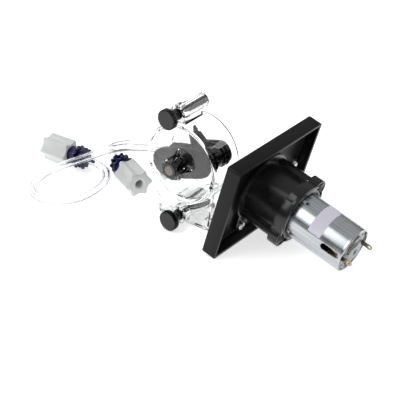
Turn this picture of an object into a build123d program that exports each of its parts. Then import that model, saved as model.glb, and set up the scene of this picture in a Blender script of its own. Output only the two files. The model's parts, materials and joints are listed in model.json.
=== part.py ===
from build123d import *
import os
from math import atan2, cos, degrees, pi, radians, sin, sqrt, tan

os.makedirs("parts", exist_ok=True)

# Peristaltic pump laid out as a kit on a table: drive unit, clear pump head, tube set.
# Millimetres, +Z up. X runs along the mounting plate's long side, the motor points to -Y.

# ---------------------------------------------------------------- driving sizes: drive unit
PLATE_LENGTH = 101.6
PLATE_HEIGHT = 82.5
PLATE_DEPTH = 11.8
PLATE_FLOOR = 3.0
PLATE_RIM = 2.6
PLATE_CORNER = 2.0
SCREW_SPREAD = 42.8          # thumb-screw axis from the pump axis
INSERT_R = 3.5
INSERT_HEAD_R = 4.1
THREAD_R = 1.75
HOUSING_LENGTH = 40.3        # from the tray floor to the motor end
BARREL_R = 22.0
COLLAR_R = 24.0
COLLAR_LENGTH = 9.0
GEARBOX_R = 19.5
LOBE_R = 9.2
LOBE_OFFSET = 20.5
LOBE_SET_BACK = 0.8
LOBE_ANGLE = 41.0
LOBE_STEM_R = 6.2
LOBE_POCKET = 7.0
LOBE_WALL = 1.5
LOBE_RIB_T = 1.1
LOBE_RIB_LEAN = 32.0
LOBE_RIB_SHIFT = 3.4
NOTCH_ANGLE = 125.0
FLANGE_R = 28.0
FLANGE_T = 3.0
FLANGE_SCREW_X = 15.0
FLANGE_SCREW_Y = 31.0
SCREW_R = 1.5
SCREW_HEAD_R = 3.6
MOTOR_R = 18.0
MOTOR_LENGTH = 51.6
MOTOR_WALL = 1.4
MOTOR_SHAFT_R = 1.585
MOTOR_SINK = 4.5             # how far the can sits inside the housing
MOTOR_SCREW_X = 12.5
CORE_R = 12.9
CORE_SLOTS = 5
CORE_SLOT_WIDTH = 2.2
MAGNET_IN_R = 13.4
COMMUTATOR_R = 3.6
BRUSH_GAP = 0.12
BRUSH_END = 8.0              # outer end of each brush, from the shaft
MOTOR_BUSH_R = 4.0
TERMINAL_X = 13.5
TERMINAL_WIDTH = 4.0
TERMINAL_T = 0.6
TERMINAL_OUT = 8.0
OUTPUT_SHAFT_R = 4.0
DRIVE_PIN_R = 3.0
DRIVE_PIN_LENGTH = 9.0
BUSH_R = 6.0
RUN_FIT = 0.05               # radial running clearance of shafts and pins

# gears: sun, planets, ring
GEAR_MODULE = 0.7
SUN_TEETH = 12
PLANET_TEETH = 18
RING_TEETH = SUN_TEETH + 2 * PLANET_TEETH
PLANET_COUNT = 3
GEAR_BACKLASH = 0.16
GEAR_FACE = 7.0
PLANET_PIN_R = 1.5
PRESSURE_ANGLE = 20.0

# ---------------------------------------------------------------- driving sizes: pump head
DRUM_R = 32.2
DRUM_WALL = 2.9
DRUM_FRONT = 13.0            # front wall's front face, from the knobs' middle
DRUM_FRONT_T = 2.0
DRUM_ROUND = 2.2
HEAD_DEPTH = 43.9
HEAD_AXIS_HEIGHT = 51.4
BASE_WALL = 2.2
BASE_TOP_HALF = 30.5
BASE_FOOT_HALF = 24.0
HUB_R = 7.2
HUB_FRONT = 0.8
GUSSET_R = 13.0
GUSSET_T = 2.0
HEAD_BUSH_R = 6.0
BOSS_R = 6.0
BOSS_FRONT_R = 7.2
BOSS_FRONT = 11.0
BOSS_FRONT_LENGTH = 6.0
BOSS_END = 41.0
SHANK_R = 2.3
SHANK_END = 42.6
KNOB_R = 8.0
KNOB_T = 5.0
SPRING_R = 3.5
SPRING_WIRE_R = 0.45
SPRING_TURNS = 4
COLLAR_SEAT = 1.6
COLLAR_OUT_R = 4.4
SHANK_FIT = 0.3
KNOB_GROOVES = 30
KNOB_GROOVE_R = 0.55
ROTOR_SHAFT_R = 4.0
ROTOR_SHAFT_END = 42.0
SOCKET_DEPTH = 12.0
ROTOR_PLATE_T = 3.0
ROTOR_HALF = 28.3
ROTOR_END_R = 11.6
ROTOR_WAIST_R = 12.4
ROTOR_ANGLE = -16.0
ROLLER_OFFSET = 18.2
ROLLER_R = 7.8
ROLLER_FLANGE_R = 9.3
ROLLER_FLANGE_T = 1.5
ROLLER_RING_IN = 4.2
ROLLER_RING_T = 1.2
ROLLER_PIN_R = 2.0
ROTOR_HUB_R = 7.4
FIN_R = 18.6
FIN_ANGLE = 75.0
FIN_SPREAD = 55.0
SIDE_GAP = 0.5               # axial gap beside each roller

# ---------------------------------------------------------------- driving sizes: tube set
TUBE_R = 3.2
TUBE_BORE_R = 1.6
NUT_CORNER_R = 11.6
NUT_LENGTH = 25.0
NUT_FLUTE_R = 7.0
NUT_FLUTE_DEPTH = 1.4
NUT_BORE_R = 3.3
NUT_THREAD_R = 6.6
NUT_THREAD_DEPTH = 13.5
FITTING_THREAD_R = 6.45
DISC_R = 9.6
SMALL_DISC_R = 9.0
DISC_T = 2.0
NECK_R = 4.6
BLOCK_R = 7.0
BARB_R = 1.55
BARB_LENGTH = 8.5
FITTING_TO_NUT = 25.0        # from the tube's end in the fitting to the nut's inner face

# ---------------------------------------------------------------- where the groups lie
LEAN = degrees(atan2(PLATE_HEIGHT / 2 - MOTOR_R, HOUSING_LENGTH - (PLATE_DEPTH - PLATE_FLOOR)
                     - MOTOR_SINK + MOTOR_LENGTH))
HEAD_X = -38.9
HEAD_GAP = 63.3              # head axis in front of the plate's rim plane
TUBE_SET_Y = -6.0
FITTING_A_END = (-8.2, 166.6 + TUBE_SET_Y)
FITTING_A_TURN = 93.4        # direction from the tube's end to the nut, about Z from +X
FITTING_B_END = (8.0, 160.1 + TUBE_SET_Y)
FITTING_B_TURN = 245.0

# The tube's route, hand-laid: out of fitting A, round to the left, over fitting B, round the
# right-hand side and into fitting B from behind.
TUBE_POINTS = [
    (-8.7, 169.1, 10.0),
    (-7.6, 151.0, 9.9),
    (-19.5, 137.0, 8.0),
    (-37.0, 135.5, 5.0),
    (-54.0, 139.5, 3.5),
    (-67.5, 151.0, 3.2),
    (-69.6, 168.4, 3.2),
    (-60.1, 183.1, 3.2),
    (-43.3, 188.1, 4.2),
    (-27.6, 181.0, 8.2),
    (-19.6, 165.8, 15.8),
    (-10.0, 151.5, 23.4),
    (-0.2, 138.0, 28.2),
    (14.2, 125.5, 26.6),
    (33.7, 122.5, 17.6),
    (49.7, 130.6, 9.0),
    (57.2, 144.7, 4.4),
    (55.0, 160.5, 3.2),
    (43.7, 171.9, 3.4),
    (27.9, 174.3, 5.8),
    (13.8, 166.7, 9.9),
    (4.4, 146.4, 10.0),
]

# ---------------------------------------------------------------- derived places
FLOOR_BACK = -(PLATE_DEPTH - PLATE_FLOOR)
HOUSING_END = FLOOR_BACK + HOUSING_LENGTH
MOTOR_FRONT = HOUSING_END - MOTOR_SINK
MOTOR_END = MOTOR_FRONT + MOTOR_LENGTH
PLATE_Z = PLATE_HEIGHT / 2 * cos(radians(LEAN))
MOTOR_BACK_Y = (MOTOR_END + TERMINAL_OUT) * cos(radians(LEAN))
PLATE_Y = (MOTOR_BACK_Y - HEAD_GAP - DRUM_R) / 2
GEAR_CENTRES = GEAR_MODULE * (SUN_TEETH + PLANET_TEETH) / 2
CARRIER_Z = 10.7
CARRIER_T = 3.0
PLANET_Z = CARRIER_Z + CARRIER_T + 0.8
RING_Z = CARRIER_Z + CARRIER_T + 0.3
COVER_Z = PLANET_Z + GEAR_FACE + 0.9
CORE_FROM = MOTOR_FRONT + 10.5
CORE_TO = MOTOR_END - 18.1
NUT_FLAT = NUT_CORNER_R * cos(pi / 6)
FITTING_HEIGHT = NUT_FLAT
ROTOR_FRONT_Z = DRUM_FRONT + DRUM_FRONT_T + 0.5
ROLLER_Z = ROTOR_FRONT_Z + ROTOR_PLATE_T + SIDE_GAP
ROLLER_LENGTH = 18.4
REAR_FLANGE_Z = ROLLER_Z + ROLLER_LENGTH + SIDE_GAP
REAR_FLANGE_T = 2.6


def cyl(radius, z_from, z_to, x=0.0, y=0.0):
    return Pos(x, y, (z_from + z_to) / 2) * Cylinder(radius, z_to - z_from)


def ring(outer, inner, z_from, z_to, x=0.0, y=0.0):
    face = Circle(outer) - Circle(inner)
    return Pos(x, y, z_from) * extrude(face, z_to - z_from)


def block(size_x, size_y, z_from, z_to, x=0.0, y=0.0):
    return Pos(x, y, (z_from + z_to) / 2) * Box(size_x, size_y, z_to - z_from)


def group(shapes):
    """Separate solids that share one node."""
    return Compound([solid for shape in shapes for solid in shape.solids()])


def polar(radius, angle):
    return radius * cos(radians(angle)), radius * sin(radians(angle))


def prism(points, z_from, z_to):
    return Pos(0, 0, z_from) * extrude(make_face(Polyline(*points, close=True)), z_to - z_from)


def hull_of_circles(circles, z_from, z_to):
    outline = make_hull([e for x, y, r in circles for e in (Pos(x, y) * Circle(r)).edges()])
    return Pos(0, 0, z_from) * extrude(outline, z_to - z_from)


def tooth_angle(radius, pitch_r, thickness):
    """Half angle, in radians, of an involute tooth at a radius."""
    base_r = pitch_r * cos(radians(PRESSURE_ANGLE))
    at = sqrt(max(radius * radius / base_r ** 2 - 1, 0))
    pitch_at = sqrt(pitch_r * pitch_r / base_r ** 2 - 1)
    involute = (at - atan2(at, 1)) - (pitch_at - atan2(pitch_at, 1))
    return thickness / 2 / pitch_r - involute


def gear_outline(teeth, tip_add, root_add, thickness):
    """Gear outline as straight chords between points on the involutes."""
    pitch_r = GEAR_MODULE * teeth / 2
    tip_r = pitch_r + tip_add
    root_r = pitch_r - root_add
    radii = [root_r, pitch_r, (pitch_r + tip_r) / 2, tip_r]
    points = []
    for tooth in range(teeth):
        middle = 2 * pi * tooth / teeth
        flank = [(r, tooth_angle(r, pitch_r, thickness)) for r in radii]
        side = [(r, middle - a) for r, a in flank] + [(r, middle + a) for r, a in reversed(flank)]
        points += [(r * cos(a), r * sin(a)) for r, a in side]
    return points


def external_gear(teeth, z_from, z_to, bore_r):
    half_pitch = pi * GEAR_MODULE / 2
    outline = gear_outline(teeth, 0.85 * GEAR_MODULE, 1.15 * GEAR_MODULE, half_pitch - GEAR_BACKLASH)
    return prism(outline, z_from, z_to) - cyl(bore_r, z_from - 1, z_to + 1)


def internal_gear(teeth, z_from, z_to, outer_r):
    half_pitch = pi * GEAR_MODULE / 2
    space = gear_outline(teeth, 1.15 * GEAR_MODULE, 0.8 * GEAR_MODULE, half_pitch + GEAR_BACKLASH)
    turn = 180.0 / teeth
    return cyl(outer_r, z_from, z_to) - Rot(0, 0, turn) * prism(space, z_from - 1, z_to + 1)


# ---------------------------------------------------------------- drive unit, axis Z to the motor
def lobe_places():
    return [polar(LOBE_OFFSET, LOBE_ANGLE), polar(LOBE_OFFSET, LOBE_ANGLE + 180)]


def make_mounting_plate():
    tray = block(PLATE_LENGTH, PLATE_HEIGHT, -PLATE_DEPTH, 0)
    tray = fillet(tray.edges().filter_by(Axis.Z), PLATE_CORNER)
    tray = chamfer(tray.faces().sort_by(Axis.Z)[0].edges(), 0.6)
    tray -= block(PLATE_LENGTH - 2 * PLATE_RIM, PLATE_HEIGHT - 2 * PLATE_RIM, FLOOR_BACK, 1)
    tray -= cyl(BUSH_R, -PLATE_DEPTH - 1, 1)
    for side in (-1, 1):
        tray -= cyl(INSERT_R, -PLATE_DEPTH - 1, 1, side * SCREW_SPREAD)
        tray -= cyl(SCREW_R, -PLATE_DEPTH + 0.8, 1, side * FLANGE_SCREW_X, -FLANGE_SCREW_Y)
    return tray


def make_gear_housing():
    front = FLOOR_BACK
    body = cyl(FLANGE_R, front, front + FLANGE_T)
    lugs = [(s * FLANGE_SCREW_X, -FLANGE_SCREW_Y, 5.0) for s in (-1, 1)]
    body += hull_of_circles(lugs + [(0, 0, BARREL_R)], front, front + FLANGE_T)
    body += cyl(BARREL_R, front, HOUSING_END)
    body += cyl(COLLAR_R, HOUSING_END - COLLAR_LENGTH, HOUSING_END)
    for x, y in lobe_places():
        body += cyl(LOBE_STEM_R, front, HOUSING_END - COLLAR_LENGTH, x, y)
        body += cyl(LOBE_R, HOUSING_END - COLLAR_LENGTH, HOUSING_END - LOBE_SET_BACK, x, y)
    body -= cyl(GEARBOX_R, front + FLANGE_T, HOUSING_END + 1)
    for x, y in lobe_places():
        body -= lobe_pocket(x, y)
    body += cyl(9.0, front + FLANGE_T, front + FLANGE_T + 5)
    body -= cyl(BUSH_R, front - 1, front + FLANGE_T + 6)
    for side in (-1, 1):
        body -= cyl(SCREW_R, front - 1, front + 5, side * FLANGE_SCREW_X, -FLANGE_SCREW_Y)
    notch = block(2.4, 6.5, HOUSING_END - COLLAR_LENGTH - 1, HOUSING_END - 3, COLLAR_R)
    for angle in (NOTCH_ANGLE, NOTCH_ANGLE + 180):
        body -= Rot(0, 0, angle) * notch
    return body


def lobe_pocket(x, y):
    """The open rear end of a lobe, less the zigzag ribs that stiffen it."""
    end = HOUSING_END - LOBE_SET_BACK
    pocket = cyl(LOBE_R - LOBE_WALL, end - LOBE_POCKET, HOUSING_END + 1, x, y)
    pocket -= cyl(GEARBOX_R + LOBE_WALL, end - LOBE_POCKET - 1, HOUSING_END + 2)
    angle = degrees(atan2(y, x))
    radius = sqrt(x * x + y * y)
    for lean, shift in ((LOBE_RIB_LEAN, -LOBE_RIB_SHIFT), (-LOBE_RIB_LEAN, LOBE_RIB_SHIFT), (0, 0)):
        rib = Rot(0, 0, angle) * Pos(radius + 3, shift, 0) * Rot(0, 0, lean)
        pocket -= rib * block(22, LOBE_RIB_T, end - LOBE_POCKET - 1, end)
    return pocket


def make_thumb_nuts():
    """Domed threaded inserts that the head's thumb screws turn into."""
    nuts = []
    for side in (-1, 1):
        x = side * SCREW_SPREAD
        shape = cyl(INSERT_R, -PLATE_DEPTH, FLOOR_BACK, x)
        shape += cyl(INSERT_HEAD_R, FLOOR_BACK, FLOOR_BACK + 1.4, x)
        dome = Pos(x, 0, FLOOR_BACK + 1.4) * Sphere(INSERT_HEAD_R - 0.2)
        dome &= block(10, 10, FLOOR_BACK + 1.4, FLOOR_BACK + 4.4, x)
        shape += dome
        nuts.append(shape - cyl(THREAD_R, -PLATE_DEPTH - 1, FLOOR_BACK + 2, x))
    return group(nuts)


def pan_screw(x, y, head_z, shank_to, head_r, shank_r, head_h):
    head = Pos(x, y, head_z) * cyl(head_r, 0, head_h * 0.45)
    dome = Pos(x, y, head_z) * Sphere(head_r * 1.02)
    dome &= block(2 * head_r, 2 * head_r, head_z, head_z + head_h, x, y)
    return head + dome + cyl(shank_r, shank_to, head_z, x, y)


def make_housing_screws():
    top = FLOOR_BACK + FLANGE_T
    return group([
        pan_screw(s * FLANGE_SCREW_X, -FLANGE_SCREW_Y, top, -PLATE_DEPTH + 0.9, SCREW_HEAD_R, SCREW_R, 2.6)
        for s in (-1, 1)])


def make_output_bush():
    top = FLOOR_BACK + FLANGE_T + 5
    return ring(BUSH_R, OUTPUT_SHAFT_R + RUN_FIT, -PLATE_DEPTH + 0.5, top)


def make_planet_carrier():
    carrier = cyl(15.5, CARRIER_Z, CARRIER_Z + CARRIER_T)
    carrier += cyl(OUTPUT_SHAFT_R, -PLATE_DEPTH, CARRIER_Z)
    pin = cyl(DRIVE_PIN_R, -PLATE_DEPTH - DRIVE_PIN_LENGTH, -PLATE_DEPTH)
    carrier += chamfer(pin.edges().sort_by(Axis.Z)[0], 0.5)
    for x, y in planet_places():
        carrier -= cyl(PLANET_PIN_R, CARRIER_Z - 1, CARRIER_Z + CARRIER_T + 1, x, y)
    return carrier - cyl(0.8, -4, 4).rotate(Axis.X, 90).translate((0, 0, cross_pin_z()))


def cross_pin_z():
    return -PLATE_DEPTH - DRIVE_PIN_LENGTH + 4


def make_drive_cross_pin():
    return cyl(0.8, -3.9, 3.9).rotate(Axis.X, 90).translate((0, 0, cross_pin_z()))


def planet_places():
    return [polar(GEAR_CENTRES, 90 + 360 / PLANET_COUNT * i) for i in range(PLANET_COUNT)]


def make_planet_pins():
    end = PLANET_Z + GEAR_FACE + 0.4
    return group([cyl(PLANET_PIN_R, CARRIER_Z, end, x, y) for x, y in planet_places()])


def make_planet(index):
    x, y = planet_places()[index]
    angle = 90 + 360 / PLANET_COUNT * index
    gear = external_gear(PLANET_TEETH, PLANET_Z, PLANET_Z + GEAR_FACE, PLANET_PIN_R + RUN_FIT)
    return Pos(x, y, 0) * Rot(0, 0, angle + 180 + 180 / PLANET_TEETH) * gear


def make_ring_gear():
    return internal_gear(RING_TEETH, RING_Z, COVER_Z, GEARBOX_R)


def make_gearbox_cover():
    cover = cyl(GEARBOX_R, COVER_Z, MOTOR_FRONT) - cyl(6.5, COVER_Z - 1, MOTOR_FRONT + 1)
    for side in (-1, 1):
        x = side * MOTOR_SCREW_X
        cover -= cyl(SCREW_R, COVER_Z - 1, MOTOR_FRONT + 1, x)
        cover -= cyl(3.0, COVER_Z - 1, MOTOR_FRONT - 2, x)
    return cover


def make_motor_collar():
    return ring(GEARBOX_R, MOTOR_R, MOTOR_FRONT, HOUSING_END - 0.8)


def make_motor_screws():
    head_z = MOTOR_FRONT - 2
    screws = []
    for side in (-1, 1):
        x = side * MOTOR_SCREW_X
        head = cyl(2.7, head_z - 1.8, head_z, x) - block(1, 6, head_z - 2, head_z - 1, x)
        screws.append(head + cyl(SCREW_R, head_z, MOTOR_FRONT + 3.5, x))
    return group(screws)


def make_motor_can():
    can = cyl(MOTOR_R, MOTOR_FRONT, MOTOR_END)
    can = fillet(can.edges().sort_by(Axis.Z)[0], 1.2)
    can += cyl(6.5, MOTOR_FRONT - 2, MOTOR_FRONT + 1)
    can -= cyl(MOTOR_R - MOTOR_WALL, MOTOR_FRONT + 1.5, MOTOR_END + 1)
    can -= cyl(MOTOR_BUSH_R, MOTOR_FRONT - 3, MOTOR_FRONT + 3)
    for side in (-1, 1):
        can -= cyl(SCREW_R, MOTOR_FRONT - 1, MOTOR_FRONT + 3, side * MOTOR_SCREW_X)
    slot = extrude(SlotOverall(16, 5), 10)
    slot = Rot(0, 90, 0) * Rot(0, 0, 90) * slot
    for angle in (172, 352):
        can -= Rot(0, 0, angle) * Pos(MOTOR_R - 4, 0, MOTOR_END - 10) * slot
    for angle in (20, 110, 200, 290):
        can -= Rot(0, 0, angle) * block(6, 2.2, MOTOR_FRONT + 7.5, MOTOR_FRONT + 9.7, MOTOR_R)
    return can


def make_motor_end_cap():
    inner = MOTOR_R - MOTOR_WALL
    cap = cyl(inner, MOTOR_END - 3.6, MOTOR_END - 1.0) + cyl(8.0, MOTOR_END - 1.2, MOTOR_END + 2.0)
    cap = fillet(cap.edges().sort_by(Axis.Z)[-1], 1.0)
    cap -= cyl(MOTOR_BUSH_R, MOTOR_END - 4, MOTOR_END + 1.2)
    cap -= cyl(1.9, MOTOR_END - 4, MOTOR_END + 3)
    for side in (-1, 1):
        cap -= block(2.4, TERMINAL_WIDTH + 1.2, MOTOR_END - 4, MOTOR_END, side * TERMINAL_X)
    return cap


def make_terminal_insulators():
    blocks = []
    for side in (-1, 1):
        x = side * TERMINAL_X
        body = block(2.4, TERMINAL_WIDTH + 1.2, MOTOR_END - 3.6, MOTOR_END - 0.6, x)
        blocks.append(body - block(TERMINAL_T, TERMINAL_WIDTH, MOTOR_END - 5, MOTOR_END, x))
    return group(blocks)


def make_terminal(side):
    x = side * TERMINAL_X
    strip = block(TERMINAL_T, TERMINAL_WIDTH, MOTOR_END - 10.6, MOTOR_END + TERMINAL_OUT, x)
    strip -= cyl(1.1, -2, 2).rotate(Axis.Y, 90).translate((x, 0, MOTOR_END + TERMINAL_OUT - 2.4))
    reach = TERMINAL_X + TERMINAL_T / 2 - BRUSH_END
    middle = side * (TERMINAL_X + TERMINAL_T / 2 + BRUSH_END) / 2
    return strip + block(reach, TERMINAL_WIDTH, MOTOR_END - 10.6, MOTOR_END - 10.6 + TERMINAL_T, middle)


def make_brushes():
    reach = COMMUTATOR_R + BRUSH_GAP
    return group([
        block(BRUSH_END - reach, 3.4, MOTOR_END - 12.4, MOTOR_END - 8.4, side * (BRUSH_END + reach) / 2)
        for side in (-1, 1)])


def make_magnets():
    shell = ring(MOTOR_R - MOTOR_WALL, MAGNET_IN_R, CORE_FROM - 4, CORE_TO + 4)
    return shell - block(50, 13, CORE_FROM - 5, CORE_TO + 5)


def make_front_bush():
    return ring(MOTOR_BUSH_R, MOTOR_SHAFT_R + RUN_FIT, MOTOR_FRONT - 1.8, MOTOR_FRONT + 2.5)


def make_rear_bush():
    return ring(MOTOR_BUSH_R, MOTOR_SHAFT_R + RUN_FIT, MOTOR_END - 3.4, MOTOR_END + 1.2)


def make_motor_shaft():
    return cyl(MOTOR_SHAFT_R, PLANET_Z - 0.4, MOTOR_END + 1.0)


def make_sun_pinion():
    return external_gear(SUN_TEETH, PLANET_Z - 0.4, COVER_Z + 1.5, MOTOR_SHAFT_R)


def make_armature_core():
    core = ring(CORE_R, MOTOR_SHAFT_R, CORE_FROM, CORE_TO)
    slot = block(10, CORE_SLOT_WIDTH, CORE_FROM - 1, CORE_TO + 1, CORE_R - 3)
    for i in range(CORE_SLOTS):
        core -= Rot(0, 0, 360 / CORE_SLOTS * i) * slot
    return core


def make_windings():
    return group([
        fillet(ring(11.5, 3.8, a, b).edges().filter_by(GeomType.CIRCLE), 1.2)
        for a, b in ((CORE_FROM - 4, CORE_FROM), (CORE_TO, CORE_TO + 4))])


def make_commutator():
    return ring(COMMUTATOR_R, MOTOR_SHAFT_R, CORE_TO + 4.2, MOTOR_END - 7.4)


# ---------------------------------------------------------------- pump head, axis Z to the plate
def make_head_housing():
    end = HEAD_DEPTH
    wall_end = DRUM_FRONT + DRUM_FRONT_T
    drum = cyl(DRUM_R, DRUM_FRONT, end)
    drum = fillet(drum.edges().sort_by(Axis.Z)[0], DRUM_ROUND)
    foot = -HEAD_AXIS_HEIGHT
    step = DRUM_FRONT + 4
    outer = [(-BASE_TOP_HALF, -8), (-BASE_FOOT_HALF, foot), (BASE_FOOT_HALF, foot), (BASE_TOP_HALF, -8)]
    w = BASE_WALL
    inner = [(-BASE_TOP_HALF + w, -8), (-BASE_FOOT_HALF + w, foot + w),
             (BASE_FOOT_HALF - w, foot + w), (BASE_TOP_HALF - w, -8)]
    shell = drum + prism(outer, step, end)
    shell -= prism(inner, step + w, end + 1) - cyl(DRUM_R, step, end + 2)
    shell -= cyl(DRUM_R - DRUM_WALL, wall_end, end + 1)
    for side in (-1, 1):
        x = side * (BASE_FOOT_HALF - 7.0)
        port = block(2 * TUBE_R + 0.8, 12, step + 10, end + 1, x, foot)
        shell -= port
    for side in (-1, 1):
        y = side * SCREW_SPREAD
        shell += cyl(BOSS_R, BOSS_FRONT, BOSS_END, 0, y)
        shell += cyl(BOSS_FRONT_R, BOSS_FRONT, BOSS_FRONT + BOSS_FRONT_LENGTH, 0, y)
    shell += block(5, SCREW_SPREAD - DRUM_R, step, BOSS_END - 3, 0, (SCREW_SPREAD + DRUM_R - 1) / 2)
    shell += cyl(HUB_R, HUB_FRONT, wall_end) + make_gussets()
    shell -= cyl(HEAD_BUSH_R, HUB_FRONT - 1, wall_end + 1)
    for side in (-1, 1):
        y = side * SCREW_SPREAD
        shell -= cyl(SHANK_R + SHANK_FIT, BOSS_FRONT - 1, BOSS_END + 1, 0, y)
        shell -= cyl(COLLAR_OUT_R, BOSS_FRONT - 1, BOSS_FRONT + COLLAR_SEAT, 0, y)
    return shell


def make_gussets():
    side = Polyline((HUB_R - 1.5, HUB_FRONT + 1.5), (HUB_R + 1.2, HUB_FRONT + 1.5),
                    (GUSSET_R, DRUM_FRONT - 2.4),
                    (GUSSET_R, DRUM_FRONT + 0.5), (HUB_R - 1.5, DRUM_FRONT + 0.5), close=True)
    face = Plane.XZ.offset(-GUSSET_T / 2) * make_face(side)
    rib = extrude(face, GUSSET_T)
    star = rib
    for i in range(1, 4):
        star += Rot(0, 0, 90 * i) * rib
    return star


def make_head_bush():
    return ring(HEAD_BUSH_R, ROTOR_SHAFT_R + RUN_FIT, HUB_FRONT - 0.4, DRUM_FRONT + DRUM_FRONT_T)


def turned(shape):
    return Rot(0, 0, ROTOR_ANGLE) * shape


def make_rotor_shaft():
    shaft = chamfer(cyl(ROTOR_SHAFT_R, 0, ROTOR_SHAFT_END).edges().filter_by(GeomType.CIRCLE), 0.4)
    shaft -= cyl(DRIVE_PIN_R + RUN_FIT, ROTOR_SHAFT_END - SOCKET_DEPTH, ROTOR_SHAFT_END + 1)
    return turned(shaft - block(2.0, 12, ROTOR_SHAFT_END - 6, ROTOR_SHAFT_END + 1))


def make_rotor_front_plate():
    reach = ROTOR_HALF - ROTOR_END_R
    outline = [(-reach, 0, ROTOR_END_R), (0, 0, ROTOR_WAIST_R), (reach, 0, ROTOR_END_R)]
    plate = hull_of_circles(outline, ROTOR_FRONT_Z, ROTOR_FRONT_Z + ROTOR_PLATE_T)
    plate -= cyl(ROTOR_SHAFT_R, 0, 50)
    for side in (-1, 1):
        plate -= cyl(ROLLER_PIN_R, ROTOR_FRONT_Z + 1, 50, side * ROLLER_OFFSET)
    return turned(plate)


def make_rotor_hub():
    return turned(ring(ROTOR_HUB_R, ROTOR_SHAFT_R, ROTOR_FRONT_Z + ROTOR_PLATE_T, REAR_FLANGE_Z))


def make_rotor_rear_plate():
    front, back = REAR_FLANGE_Z, REAR_FLANGE_Z + REAR_FLANGE_T
    plate = cyl(ROTOR_HUB_R, front, back)
    for side in (-1, 1):
        plate += hull_of_circles([(0, 0, 7.0), (side * ROLLER_OFFSET, 0, 8.2)], front, back)
    for angle in (FIN_ANGLE, FIN_ANGLE + 180):
        foot = [polar(6.5, angle - FIN_SPREAD), polar(6.5, angle + FIN_SPREAD)]
        plate += prism([foot[0], polar(FIN_R, angle), foot[1]], front, back)
    plate -= cyl(ROTOR_SHAFT_R, front - 1, back + 1)
    for side in (-1, 1):
        plate -= cyl(ROLLER_PIN_R, front - 1, back + 1, side * ROLLER_OFFSET)
    return turned(plate)


def make_roller_pins():
    end = REAR_FLANGE_Z + REAR_FLANGE_T
    pins = [cyl(ROLLER_PIN_R, ROTOR_FRONT_Z + 1, end, side * ROLLER_OFFSET) for side in (-1, 1)]
    return turned(group(pins))


def make_roller(side):
    x = side * ROLLER_OFFSET
    z0, z1 = ROLLER_Z, ROLLER_Z + ROLLER_LENGTH
    roller = cyl(ROLLER_R, z0, z1, x)
    for start, thick in ((z0, ROLLER_FLANGE_T), (z0 + ROLLER_RING_IN, ROLLER_RING_T),
                         (z1 - ROLLER_RING_IN - ROLLER_RING_T, ROLLER_RING_T),
                         (z1 - ROLLER_FLANGE_T, ROLLER_FLANGE_T)):
        roller += cyl(ROLLER_FLANGE_R, start, start + thick, x)
    return turned(roller - cyl(ROLLER_PIN_R + RUN_FIT, z0 - 1, z1 + 1, x))


def make_knob_screw(side):
    y = side * SCREW_SPREAD
    knob = cyl(KNOB_R, -KNOB_T / 2, KNOB_T / 2, 0, y)
    knob = chamfer(knob.edges(), 0.6)
    for i in range(KNOB_GROOVES):
        gx, gy = polar(KNOB_R + 0.25, 360 / KNOB_GROOVES * i)
        knob -= cyl(KNOB_GROOVE_R, -KNOB_T, KNOB_T, gx, gy + y)
    shank = cyl(SHANK_R, KNOB_T / 2, SHANK_END, 0, y)
    return knob + chamfer(shank.edges().sort_by(Axis.Z)[-1], 0.6)


def make_screw_washer(side):
    z0 = KNOB_T / 2 + 0.05
    return ring(4.2, SHANK_R + 0.1, z0, z0 + 0.9, 0, side * SCREW_SPREAD)


def make_spring(side):
    z0 = KNOB_T / 2 + 1.0 + SPRING_WIRE_R
    z1 = BOSS_FRONT - 0.55 - SPRING_WIRE_R
    mean_r = SPRING_R - SPRING_WIRE_R
    path = Helix(pitch=(z1 - z0) / SPRING_TURNS, height=z1 - z0, radius=mean_r)
    section = Plane(origin=path @ 0, z_dir=path % 0) * Circle(SPRING_WIRE_R)
    return Pos(0, side * SCREW_SPREAD, z0) * sweep(section, path=path, is_frenet=True)


def make_screw_collar(side):
    back = BOSS_FRONT + COLLAR_SEAT
    return ring(COLLAR_OUT_R, SHANK_R + SHANK_FIT, BOSS_FRONT - 0.5, back, 0, side * SCREW_SPREAD)


# ---------------------------------------------------------------- fittings, axis Z from tube to nut
def make_fitting():
    nut_z = FITTING_TO_NUT
    body = cyl(BARB_R, 0.8, 12)
    body += cyl(NECK_R + 0.8, BARB_LENGTH, 10.2)
    body += cyl(SMALL_DISC_R, 10.2, 10.2 + DISC_T)
    body += cyl(NECK_R, 12, 17)
    body += cyl(DISC_R, 16.2, 16.2 + DISC_T)
    body += Pos(0, 0, 18) * extrude(RegularPolygon(BLOCK_R, 6), nut_z - 18.3)
    body += cyl(FITTING_THREAD_R, nut_z - 1, nut_z + 10)
    return body - cyl(1.0, -1, nut_z + 11)


def make_ferrule():
    z0 = FITTING_TO_NUT + 10.0
    return ring(NUT_THREAD_R - 0.4, NUT_BORE_R, z0, z0 + 2.6)


def make_nut():
    z0 = FITTING_TO_NUT
    nut = Pos(0, 0, z0) * extrude(RegularPolygon(NUT_CORNER_R, 6), NUT_LENGTH)
    reach = NUT_FLAT + NUT_FLUTE_R - NUT_FLUTE_DEPTH
    for i in range(6):
        x, y = polar(reach, 30 + 60 * i)
        nut -= cyl(NUT_FLUTE_R, z0 - 1, z0 + NUT_LENGTH + 1, x, y)
    nut -= cyl(NUT_THREAD_R, z0 - 1, z0 + NUT_THREAD_DEPTH)
    return nut - cyl(NUT_BORE_R, z0, z0 + NUT_LENGTH + 1)


def tube_radii(points):
    """Each corner's arc: 0.45 of its shorter run over the tangent of half the turn."""
    spots = [Vector(*p) for p in points]
    radii = []
    for before, here, after in zip(spots, spots[1:], spots[2:]):
        run_in, run_out = here - before, after - here
        half_turn = radians(run_in.get_angle(run_out)) / 2
        radii.append(0.45 * min(run_in.length, run_out.length) / tan(half_turn))
    return radii


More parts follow.
